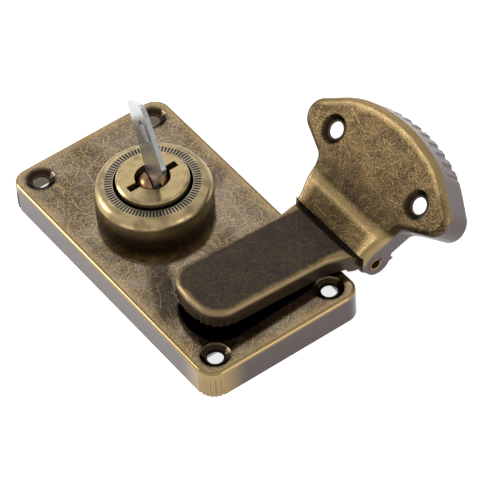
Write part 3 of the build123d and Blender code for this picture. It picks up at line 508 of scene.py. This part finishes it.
class FinishKey(bpy.types.Operator):
    """Gives the key its nickel, and the split plug, the cam and the peg their brass"""
    bl_idname = "chest_lock.finish_key"
    bl_label = "Key and Plug"

    def execute(self, context):
        settings = context.scene.lock_cylinder
        works = context.scene.lock_works
        nickel = brushed_finish("nickel key", settings.nickel, works.spring, 0.26, 0.35, KEY_AXIS)
        copper = brushed_finish("coppery plug", settings.copper, settings.brown, 0.3, 0.5, KEY_AXIS)
        brass = brushed_finish("machined brass", works.brass, settings.brown, 0.35, 0.6, KEY_AXIS)
        put_on(nickel, "key")
        put_on(copper, "plug_half_front", "plug_half_back")
        put_on(brass, "cam", "cam_peg")
        return {"FINISHED"}


class FinishTongue(bpy.types.Operator):
    """Gives the hasp tongue its dark bronze, and the staple and the hinge pin their metal"""
    bl_idname = "chest_lock.finish_tongue"
    bl_label = "Tongue, Staple and Pin"

    def execute(self, context):
        settings = context.scene.lock_cylinder
        works = context.scene.lock_works
        put_on(tongue_finish(context.scene.lock_patina), "tongue")
        steel = brushed_finish("steel staple", works.steel, settings.brown, 0.4, 0.8, PIN)
        copper = brushed_finish("coppery pin", settings.copper, settings.brown, 0.35, 0.5, PIN)
        put_on(steel, "staple")
        put_on(copper, "hinge_pin")
        return {"FINISHED"}


class FinishHingePlate(bpy.types.Operator):
    """Gives the fan-shaped hinge plate its mottled bronze"""
    bl_idname = "chest_lock.finish_hinge_plate"
    bl_label = "Hinge Plate"

    def execute(self, context):
        put_on(fan_finish(context.scene.lock_patina), "hinge_plate")
        return {"FINISHED"}


class FinishWorks(bpy.types.Operator):
    """Gives the hidden plate, guides, bolt, spring, ring and rivets their steel"""
    bl_idname = "chest_lock.finish_works"
    bl_label = "Works Inside"

    def execute(self, context):
        works = context.scene.lock_works
        steel = brushed_finish("plain steel", works.steel, works.spring, 0.38, 0.8)
        zinc = brushed_finish("zinc plate", works.zinc, works.steel, 0.42, 1.4)
        spring = brushed_finish("blued spring", works.spring, works.steel, 0.3, 0.5)
        put_on(steel, "bolt", "barrel_ring", "barrel_rivets", "guide_rivets", "spring_post",
               "front_bolt_guide", "rear_bolt_guide")
        put_on(zinc, "back_plate", "plate_studs")
        put_on(spring, "detent_spring")
        return {"FINISHED"}


LAMPS = [
    # name, place in metres from the middle of the plate's back, side in metres, power in watts
    ("left window", (-0.42, -0.36, 0.24), 0.26, 1.9),
    ("back panel", (-0.44, 0.19, 0.38), 0.30, 0.3),
    ("right fill", (0.50, 0.16, 0.22), 0.22, 0.35),
]
LAMP_TARGET = (0, 0.005, 0.01)

# The camera's place and the point that it looks at, in metres, and its roll
CAMERA_PLACE = (0.39543, -0.24423, 0.50461)
CAMERA_TARGET = (0.011216, 0.005332, 0.01)
CAMERA_ROLL = radians(-4.361)


def aimed(place, target):
    """The matrix of a lamp or a camera that looks from a place to a target."""
    turn = (Vector(target) - Vector(place)).to_track_quat("-Z", "Y")
    return Matrix.Translation(place) @ turn.to_matrix().to_4x4()


def seen_ray(tree):
    """1 for the rays that see the background: camera, glossy and transmission rays."""
    rays = tree.nodes.new("ShaderNodeLightPath")
    total = rays.outputs["Is Camera Ray"]
    for name in ("Is Glossy Ray", "Is Transmission Ray"):
        node = tree.nodes.new("ShaderNodeMath")
        node.operation = "MAXIMUM"
        tree.links.new(total, node.inputs[0])
        tree.links.new(rays.outputs[name], node.inputs[1])
        total = node.outputs[0]
    return total


def make_world(stage):
    """A white background, with its own strength for the light that it casts."""
    world = bpy.data.worlds.new("white studio")
    bpy.context.scene.world = world
    world.use_nodes = True
    tree = world.node_tree
    tree.nodes.clear()
    seen = tree.nodes.new("ShaderNodeBackground")
    light = tree.nodes.new("ShaderNodeBackground")
    light.inputs["Strength"].default_value = stage.sky
    for node in (seen, light):
        node.inputs["Color"].default_value = (1, 1, 1, 1)
    blend = tree.nodes.new("ShaderNodeMixShader")
    output = tree.nodes.new("ShaderNodeOutputWorld")
    tree.links.new(seen_ray(tree), blend.inputs[0])
    tree.links.new(light.outputs[0], blend.inputs[1])
    tree.links.new(seen.outputs[0], blend.inputs[2])
    tree.links.new(blend.outputs[0], output.inputs["Surface"])


def make_floor(stage):
    """A plain pale floor just under the part."""
    mesh = bpy.data.meshes.new("floor")
    shape = bmesh.new()
    bmesh.ops.create_grid(shape, x_segments=1, y_segments=1, size=stage.floor_size / 2,
                          matrix=Matrix.Translation((0, 0, -0.0001)))
    shape.to_mesh(mesh)
    shape.free()
    floor = bpy.data.objects.new("floor", mesh)
    bpy.context.scene.collection.objects.link(floor)
    finish = Finish("pale floor")
    finish.surface(stage.floor, 0.9, 0.0, Emission_Color=(1, 1, 1, 1))
    grain = finish.noise(900.0, 3.0)
    finish.feed(finish.shader.inputs["Roughness"], finish.math("MULTIPLY_ADD", grain, 0.1, 0.85))
    glow = finish.times(seen_ray(finish.tree), stage.floor_glow)
    finish.feed(finish.shader.inputs["Emission Strength"], glow)
    mesh.materials.append(finish.material)


class BuildStage(bpy.types.Operator):
    """Makes the pale floor, the white studio, the lamps and the camera"""
    bl_idname = "chest_lock.build_stage"
    bl_label = "Stage"

    def execute(self, context):
        scene = context.scene
        stage = scene.lock_stage
        make_world(stage)
        make_floor(stage)
        for name, place, size, power in LAMPS:
            light = bpy.data.lights.new(name, "AREA")
            light.size = size
            light.energy = power * stage.lamp_level
            lamp = bpy.data.objects.new(name, light)
            lamp.matrix_world = aimed(place, LAMP_TARGET)
            scene.collection.objects.link(lamp)
        lens = bpy.data.cameras.new("camera")
        lens.lens = stage.focal_length
        lens.sensor_width = 36
        lens.clip_start = 0.01
        lens.clip_end = 20
        camera = bpy.data.objects.new("camera", lens)
        camera.matrix_world = aimed(CAMERA_PLACE, CAMERA_TARGET) @ Matrix.Rotation(CAMERA_ROLL, 4, "Z")
        scene.collection.objects.link(camera)
        scene.camera = camera
        scene.view_settings.view_transform = "Standard"
        return {"FINISHED"}


STEPS = (FinishLockPlate, FinishCylinder, FinishKey, FinishTongue, FinishHingePlate, FinishWorks, BuildStage)


class ChestLockPanel(bpy.types.Panel):
    """Lists the settings and the steps of the chest lock"""
    bl_idname = "VIEW3D_PT_chest_lock"
    bl_label = "Chest Lock"
    bl_space_type = "VIEW_3D"
    bl_region_type = "UI"
    bl_category = "Chest Lock"

    def draw(self, context):
        for name in SETTINGS:
            settings = getattr(context.scene, name)
            box = self.layout.box()
            for setting in settings.bl_rna.properties:
                if setting.identifier not in ("rna_type", "name"):
                    box.prop(settings, setting.identifier)
        for step in STEPS:
            self.layout.operator(step.bl_idname, text=step.bl_label)


def register():
    for settings in SETTINGS.values():
        bpy.utils.register_class(settings)
    for name, settings in SETTINGS.items():
        setattr(bpy.types.Scene, name, bpy.props.PointerProperty(type=settings))
    for step in (*STEPS, ChestLockPanel):
        bpy.utils.register_class(step)


def unregister():
    for step in reversed((*STEPS, ChestLockPanel)):
        bpy.utils.unregister_class(step)
    for name in SETTINGS:
        delattr(bpy.types.Scene, name)
    for settings in reversed(tuple(SETTINGS.values())):
        bpy.utils.unregister_class(settings)


def main():
    register()
    for step in STEPS:
        category, name = step.bl_idname.split(".")
        getattr(getattr(bpy.ops, category), name)()


if __name__ == "__main__":
    main()
